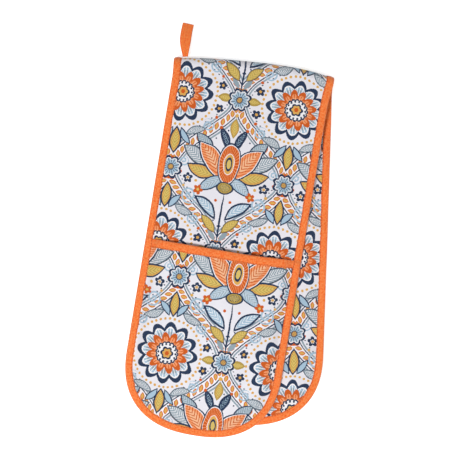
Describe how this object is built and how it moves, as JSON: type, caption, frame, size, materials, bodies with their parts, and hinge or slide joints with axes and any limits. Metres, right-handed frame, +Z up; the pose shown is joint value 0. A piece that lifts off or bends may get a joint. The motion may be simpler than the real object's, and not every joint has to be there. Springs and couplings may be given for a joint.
{
  "type": "double oven glove",
  "caption": "Double oven glove folded in half: a long quilted strip of printed cotton with bound edges, a hand pocket outside each rounded end and a hanging loop at the fold",
  "frame": {"origin": "centre of the underside of the folded glove's bounding box, on the table", "axes": "+Y from the rounded ends to the fold, +Z up from the table, X across the glove along the fold"},
  "size_m": [0.2312, 0.4824, 0.0309],
  "materials": {
    "print": "printed plain-weave cotton, matt",
    "lining": "plain cotton, matt",
    "wadding": "needled cotton wadding, matt",
    "binding": "folded cotton tape, matt",
    "loop_tape": "woven cotton tape, matt"
  },
  "bodies": {
    "back_pocket": {"back_pocket_cover": "print", "back_pocket_wadding": "wadding", "back_pocket_lining": "lining", "back_mouth_binding": "binding"},
    "back_half": {"back_outer_cover": "print", "back_wadding": "wadding", "back_inner_cover": "print", "back_edge_binding": "binding"},
    "fold_band": {"fold_outer_cover": "print", "fold_wadding": "wadding", "fold_inner_cover": "print", "fold_binding_left": "binding", "fold_binding_right": "binding"},
    "front_half": {"front_outer_cover": "print", "front_wadding": "wadding", "front_inner_cover": "print", "front_edge_binding": "binding"},
    "front_pocket": {"front_pocket_cover": "print", "front_pocket_wadding": "wadding", "front_pocket_lining": "lining", "front_mouth_binding": "binding"},
    "loop": {"hanging_loop": "loop_tape"}
  },
  "joints": [
    {"name": "back_pocket_open", "type": "hinge", "parent": "back_pocket", "child": "back_half", "pos_m": [0.02844, -0.21434, 0.0008], "axis": [0.9978, 0.0663, 0], "range_deg": [0, 10]},
    {"name": "fold_lower", "type": "hinge", "parent": "back_half", "child": "fold_band", "pos_m": [0.00056, 0.20025, 0.00308], "axis": [-1, 0, 0], "range_deg": [0, 88]},
    {"name": "fold_upper", "type": "hinge", "parent": "fold_band", "child": "front_half", "pos_m": [0.00056, 0.20025, 0.01792], "axis": [-1, 0, 0], "range_deg": [0, 88]},
    {"name": "front_pocket_open", "type": "hinge", "parent": "front_half", "child": "front_pocket", "pos_m": [-0.02844, -0.2313, 0.01446], "axis": [0.9974, -0.0662, 0.0288], "range_deg": [0, 10]},
    {"name": "loop_swing", "type": "hinge", "parent": "fold_band", "child": "loop", "pos_m": [0.00056, 0.20122, 0.0105], "axis": [1, 0, 0], "range_deg": [0, 65]}
  ],
  "couplings": [
    {"joint": "fold_upper", "follows": "fold_lower", "ratio": 1}
  ]
}
